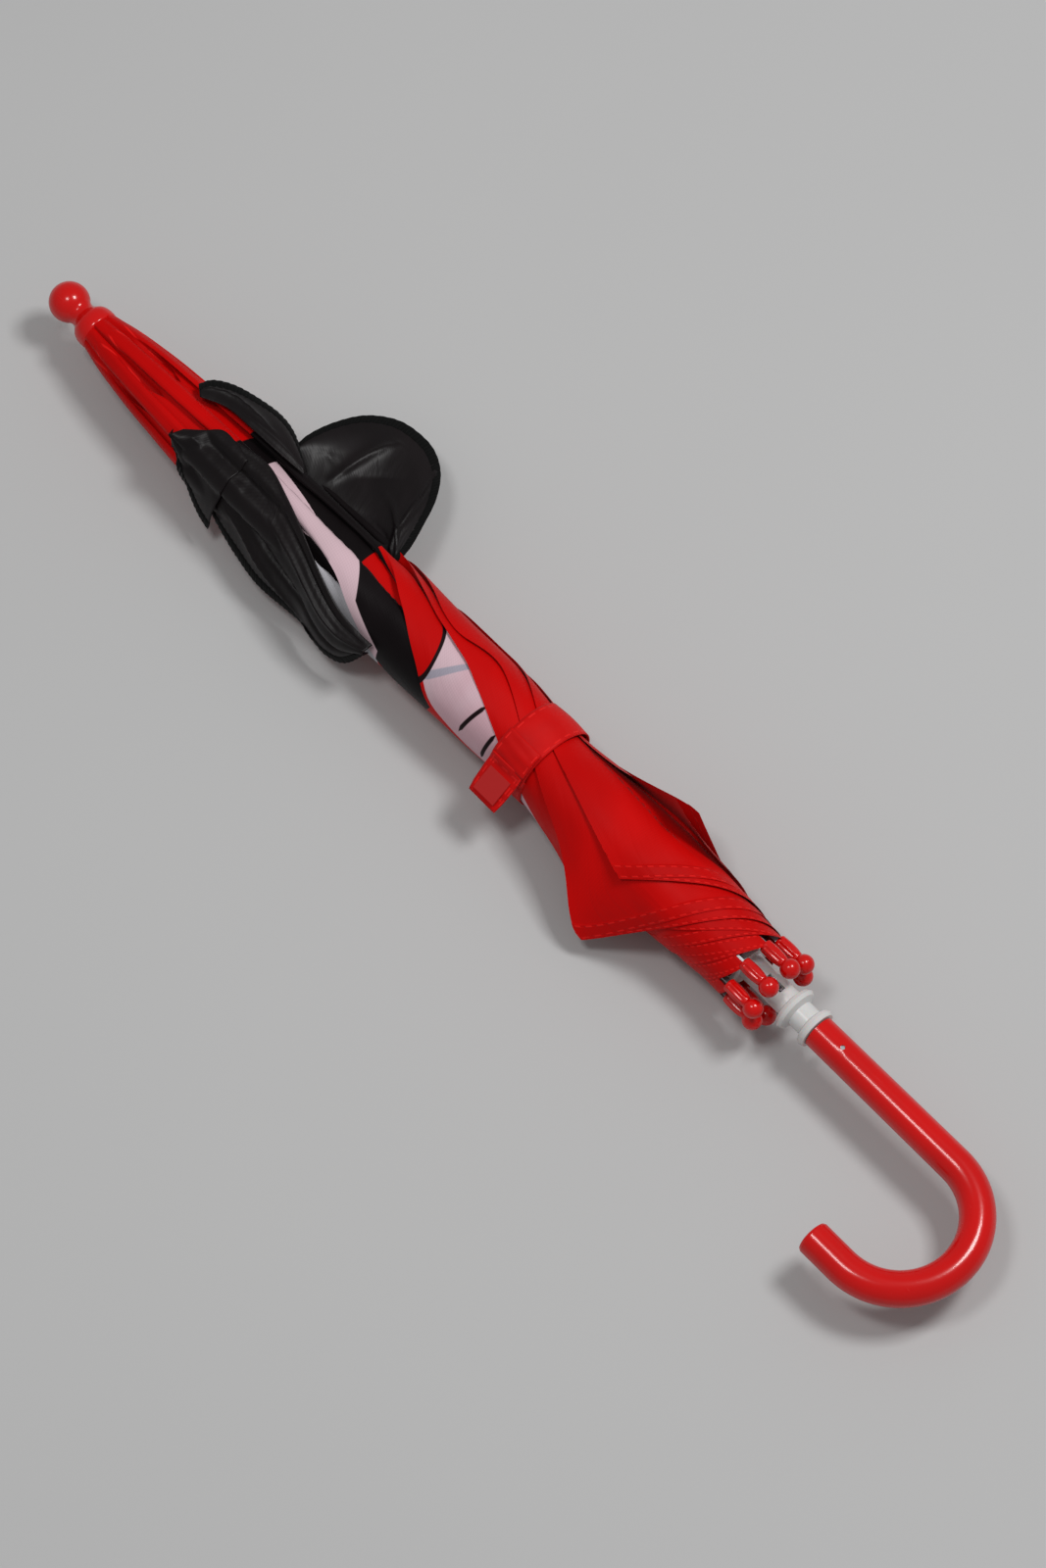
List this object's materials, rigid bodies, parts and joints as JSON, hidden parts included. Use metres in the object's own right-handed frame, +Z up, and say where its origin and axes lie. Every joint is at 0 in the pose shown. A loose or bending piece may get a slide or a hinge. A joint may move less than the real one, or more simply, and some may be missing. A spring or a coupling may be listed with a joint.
{
  "type": "stick umbrella",
  "caption": "Small furled stick umbrella with a crook handle, ball finial, sliding runner, hinged ribs and stretchers, cloth canopy with flaps, and a wrap strap.",
  "frame": {"origin": "on the floor under the middle of the bounding box, with the umbrella furled and lying on its side", "axes": "+X along the shaft from the finial to the crook, the crook bends towards -Y, +Z up"},
  "size_m": [0.6004, 0.1342, 0.054],
  "materials": {
    "red_cloth": "plain woven polyester, slight sheen",
    "black_satin": "black satin polyester with bound edges",
    "hook_and_loop": "red loop fastening",
    "red_plastic": "glossy moulded red plastic",
    "white_plastic": "glossy moulded white plastic",
    "spring_steel": "drawn wire and leaf",
    "rivet_steel": "zinc plated rivets",
    "plated_tube": "bright plated steel tube",
    "rib_steel": "rolled steel channel, bright"
  },
  "bodies": {
    "shaft": {"shaft_tube": "plated_tube", "handle_crook": "red_plastic", "handle_end_cap": "red_plastic", "handle_pin": "spring_steel", "finial_ball": "red_plastic", "crown_cap": "red_plastic", "crown_patch": "red_cloth", "top_notch": "white_plastic", "notch_wire": "spring_steel"},
    "runner": {"runner": "white_plastic", "runner_wire": "spring_steel"},
    "rib_arm_1": {"rib_1": "rib_steel", "rib_tip_1": "red_plastic"},
    "rib_arm_2": {"rib_2": "rib_steel", "rib_tip_2": "red_plastic"},
    "rib_arm_3": {"rib_3": "rib_steel", "rib_tip_3": "red_plastic"},
    "rib_arm_4": {"rib_4": "rib_steel", "rib_tip_4": "red_plastic"},
    "rib_arm_5": {"rib_5": "rib_steel", "rib_tip_5": "red_plastic"},
    "rib_arm_6": {"rib_6": "rib_steel", "rib_tip_6": "red_plastic"},
    "rib_arm_7": {"rib_7": "rib_steel", "rib_tip_7": "red_plastic"},
    "rib_arm_8": {"rib_8": "rib_steel", "rib_tip_8": "red_plastic"},
    "stretcher_arm_1": {"stretcher_1": "rib_steel", "stretcher_rivet_1": "rivet_steel"},
    "stretcher_arm_2": {"stretcher_2": "rib_steel", "stretcher_rivet_2": "rivet_steel"},
    "stretcher_arm_3": {"stretcher_3": "rib_steel", "stretcher_rivet_3": "rivet_steel"},
    "stretcher_arm_4": {"stretcher_4": "rib_steel", "stretcher_rivet_4": "rivet_steel"},
    "stretcher_arm_5": {"stretcher_5": "rib_steel", "stretcher_rivet_5": "rivet_steel"},
    "stretcher_arm_6": {"stretcher_6": "rib_steel", "stretcher_rivet_6": "rivet_steel"},
    "stretcher_arm_7": {"stretcher_7": "rib_steel", "stretcher_rivet_7": "rivet_steel"},
    "stretcher_arm_8": {"stretcher_8": "rib_steel", "stretcher_rivet_8": "rivet_steel"},
    "gore_panel_1": {"canopy_gore_1": "red_cloth"},
    "gore_panel_2": {"canopy_gore_2": "red_cloth", "closure_strap": "red_cloth"},
    "gore_panel_3": {"canopy_gore_3": "red_cloth"},
    "gore_panel_4": {"canopy_gore_4": "red_cloth", "ear_flap_folded": "black_satin"},
    "gore_panel_5": {"canopy_gore_5": "red_cloth"},
    "gore_panel_6": {"canopy_gore_6": "red_cloth"},
    "gore_panel_7": {"canopy_gore_7": "red_cloth"},
    "gore_panel_8": {"canopy_gore_8": "red_cloth", "ear_flap_round": "black_satin"},
    "strap_end": {"strap_tab": "red_cloth", "strap_fastener": "hook_and_loop"},
    "lower_catch": {"lower_catch": "spring_steel"},
    "upper_catch": {"upper_catch": "spring_steel"}
  },
  "joints": [
    {"name": "runner_slide", "type": "slide", "parent": "shaft", "child": "runner", "axis": [-1, 0, 0], "range_m": [0, 0.28532], "deforming": ["canopy_gore_1", "canopy_gore_2", "canopy_gore_3", "canopy_gore_4", "canopy_gore_5", "canopy_gore_6", "canopy_gore_7", "canopy_gore_8", "ear_flap_round", "ear_flap_folded", "closure_strap", "strap_tab", "strap_fastener", "lower_catch", "upper_catch"]},
    {"name": "rib_1_swing", "type": "hinge", "parent": "shaft", "child": "rib_arm_1", "pos_m": [-0.266, 0.01088, 0.02637], "axis": [0, -0.3827, 0.9239], "range_deg": [0, 73.7]},
    {"name": "rib_2_swing", "type": "hinge", "parent": "shaft", "child": "rib_arm_2", "pos_m": [-0.266, 0.00752, 0.02973], "axis": [0, -0.9239, 0.3827], "range_deg": [0, 73.7]},
    {"name": "rib_3_swing", "type": "hinge", "parent": "shaft", "child": "rib_arm_3", "pos_m": [-0.266, 0.00278, 0.02973], "axis": [0, -0.9239, -0.3827], "range_deg": [0, 73.7]},
    {"name": "rib_4_swing", "type": "hinge", "parent": "shaft", "child": "rib_arm_4", "pos_m": [-0.266, -0.00058, 0.02637], "axis": [0, -0.3827, -0.9239], "range_deg": [0, 73.7]},
    {"name": "rib_5_swing", "type": "hinge", "parent": "shaft", "child": "rib_arm_5", "pos_m": [-0.266, -0.00058, 0.02163], "axis": [0, 0.3827, -0.9239], "range_deg": [0, 73.7]},
    {"name": "rib_6_swing", "type": "hinge", "parent": "shaft", "child": "rib_arm_6", "pos_m": [-0.266, 0.00278, 0.01827], "axis": [0, 0.9239, -0.3827], "range_deg": [0, 73.7]},
    {"name": "rib_7_swing", "type": "hinge", "parent": "shaft", "child": "rib_arm_7", "pos_m": [-0.266, 0.00752, 0.01827], "axis": [0, 0.9239, 0.3827], "range_deg": [0, 73.7]},
    {"name": "rib_8_swing", "type": "hinge", "parent": "shaft", "child": "rib_arm_8", "pos_m": [-0.266, 0.01088, 0.02163], "axis": [0, 0.3827, 0.9239], "range_deg": [0, 73.7]},
    {"name": "stretcher_1_swing", "type": "hinge", "parent": "runner", "child": "stretcher_arm_1", "pos_m": [0.1359, 0.01174, 0.029], "axis": [0, 0.3827, -0.9239], "range_deg": [0, 70.51]},
    {"name": "stretcher_2_swing", "type": "hinge", "parent": "runner", "child": "stretcher_arm_2", "pos_m": [0.1359, 0.00627, 0.03219], "axis": [0, 0.9239, -0.3827], "range_deg": [0, 70.51]},
    {"name": "stretcher_3_swing", "type": "hinge", "parent": "runner", "child": "stretcher_arm_3", "pos_m": [0.1359, 0.00015, 0.03059], "axis": [0, 0.9239, 0.3827], "range_deg": [0, 70.51]},
    {"name": "stretcher_4_swing", "type": "hinge", "parent": "runner", "child": "stretcher_arm_4", "pos_m": [0.1359, -0.00304, 0.02512], "axis": [0, 0.3827, 0.9239], "range_deg": [0, 70.51]},
    {"name": "stretcher_5_swing", "type": "hinge", "parent": "runner", "child": "stretcher_arm_5", "pos_m": [0.1359, -0.00144, 0.019], "axis": [0, -0.3827, 0.9239], "range_deg": [0, 70.51]},
    {"name": "stretcher_6_swing", "type": "hinge", "parent": "runner", "child": "stretcher_arm_6", "pos_m": [0.1359, 0.00403, 0.01581], "axis": [0, -0.9239, 0.3827], "range_deg": [0, 70.51]},
    {"name": "stretcher_7_swing", "type": "hinge", "parent": "runner", "child": "stretcher_arm_7", "pos_m": [0.1359, 0.01015, 0.01741], "axis": [0, -0.9239, -0.3827], "range_deg": [0, 70.51]},
    {"name": "stretcher_8_swing", "type": "hinge", "parent": "runner", "child": "stretcher_arm_8", "pos_m": [0.1359, 0.01334, 0.02288], "axis": [0, -0.3827, -0.9239], "range_deg": [0, 70.51]},
    {"name": "gore_1_fold", "type": "hinge", "parent": "rib_arm_1", "child": "gore_panel_1", "pos_m": [-0.26914, 0.00669, 0.02554], "axis": [-0.5692, -0.5814, -0.5814], "range_deg": [0, 53.07]},
    {"name": "gore_2_fold", "type": "hinge", "parent": "rib_arm_2", "child": "gore_panel_2", "pos_m": [-0.26914, 0.00515, 0.02617], "axis": [-0.5692, 0, -0.8222], "range_deg": [0, 53.07]},
    {"name": "gore_3_fold", "type": "hinge", "parent": "rib_arm_3", "child": "gore_panel_3", "pos_m": [-0.26914, 0.00361, 0.02554], "axis": [-0.5692, 0.5814, -0.5814], "range_deg": [0, 53.07]},
    {"name": "gore_4_fold", "type": "hinge", "parent": "rib_arm_4", "child": "gore_panel_4", "pos_m": [-0.26914, 0.00298, 0.024], "axis": [-0.5692, 0.8222, 0], "range_deg": [0, 53.07]},
    {"name": "gore_5_fold", "type": "hinge", "parent": "rib_arm_5", "child": "gore_panel_5", "pos_m": [-0.26914, 0.00361, 0.02246], "axis": [-0.5692, 0.5814, 0.5814], "range_deg": [0, 53.07]},
    {"name": "gore_6_fold", "type": "hinge", "parent": "rib_arm_6", "child": "gore_panel_6", "pos_m": [-0.26914, 0.00515, 0.02183], "axis": [-0.5692, 0, 0.8222], "range_deg": [0, 53.07]},
    {"name": "gore_7_fold", "type": "hinge", "parent": "rib_arm_7", "child": "gore_panel_7", "pos_m": [-0.26914, 0.00669, 0.02246], "axis": [-0.5692, -0.5814, 0.5814], "range_deg": [0, 53.07]},
    {"name": "gore_8_fold", "type": "hinge", "parent": "rib_arm_8", "child": "gore_panel_8", "pos_m": [-0.26914, 0.00732, 0.024], "axis": [-0.5692, -0.8222, 0], "range_deg": [0, 53.07]},
    {"name": "strap_peel", "type": "hinge", "parent": "gore_panel_2", "child": "strap_end", "pos_m": [0.0089, -0.01371, 0.03672], "axis": [-1, 0, 0], "range_deg": [0, 100]},
    {"name": "lower_catch_press", "type": "hinge", "parent": "shaft", "child": "lower_catch", "pos_m": [0.1366, 0.00515, 0.0248], "axis": [0, 1, 0], "range_deg": [0, 7], "stiffness_Nm_per_rad": 0.6, "springref_deg": -2.86},
    {"name": "upper_catch_press", "type": "hinge", "parent": "shaft", "child": "upper_catch", "pos_m": [-0.08412, 0.00515, 0.0248], "axis": [0, -1, 0], "range_deg": [0, 7], "stiffness_Nm_per_rad": 0.6, "springref_deg": -2.86}
  ],
  "couplings": [
    {"joint": "rib_1_swing", "follows": "runner_slide", "rad_per_m": 4.5081},
    {"joint": "rib_2_swing", "follows": "runner_slide", "rad_per_m": 4.5081},
    {"joint": "rib_3_swing", "follows": "runner_slide", "rad_per_m": 4.5081},
    {"joint": "rib_4_swing", "follows": "runner_slide", "rad_per_m": 4.5081},
    {"joint": "rib_5_swing", "follows": "runner_slide", "rad_per_m": 4.5081},
    {"joint": "rib_6_swing", "follows": "runner_slide", "rad_per_m": 4.5081},
    {"joint": "rib_7_swing", "follows": "runner_slide", "rad_per_m": 4.5081},
    {"joint": "rib_8_swing", "follows": "runner_slide", "rad_per_m": 4.5081},
    {"joint": "stretcher_1_swing", "follows": "runner_slide", "rad_per_m": 4.3128},
    {"joint": "stretcher_2_swing", "follows": "runner_slide", "rad_per_m": 4.3128},
    {"joint": "stretcher_3_swing", "follows": "runner_slide", "rad_per_m": 4.3128},
    {"joint": "stretcher_4_swing", "follows": "runner_slide", "rad_per_m": 4.3128},
    {"joint": "stretcher_5_swing", "follows": "runner_slide", "rad_per_m": 4.3128},
    {"joint": "stretcher_6_swing", "follows": "runner_slide", "rad_per_m": 4.3128},
    {"joint": "stretcher_7_swing", "follows": "runner_slide", "rad_per_m": 4.3128},
    {"joint": "stretcher_8_swing", "follows": "runner_slide", "rad_per_m": 4.3128},
    {"joint": "gore_1_fold", "follows": "runner_slide", "rad_per_m": 3.2463},
    {"joint": "gore_2_fold", "follows": "runner_slide", "rad_per_m": 3.2463},
    {"joint": "gore_3_fold", "follows": "runner_slide", "rad_per_m": 3.2463},
    {"joint": "gore_4_fold", "follows": "runner_slide", "rad_per_m": 3.2463},
    {"joint": "gore_5_fold", "follows": "runner_slide", "rad_per_m": 3.2463},
    {"joint": "gore_6_fold", "follows": "runner_slide", "rad_per_m": 3.2463},
    {"joint": "gore_7_fold", "follows": "runner_slide", "rad_per_m": 3.2463},
    {"joint": "gore_8_fold", "follows": "runner_slide", "rad_per_m": 3.2463}
  ]
}
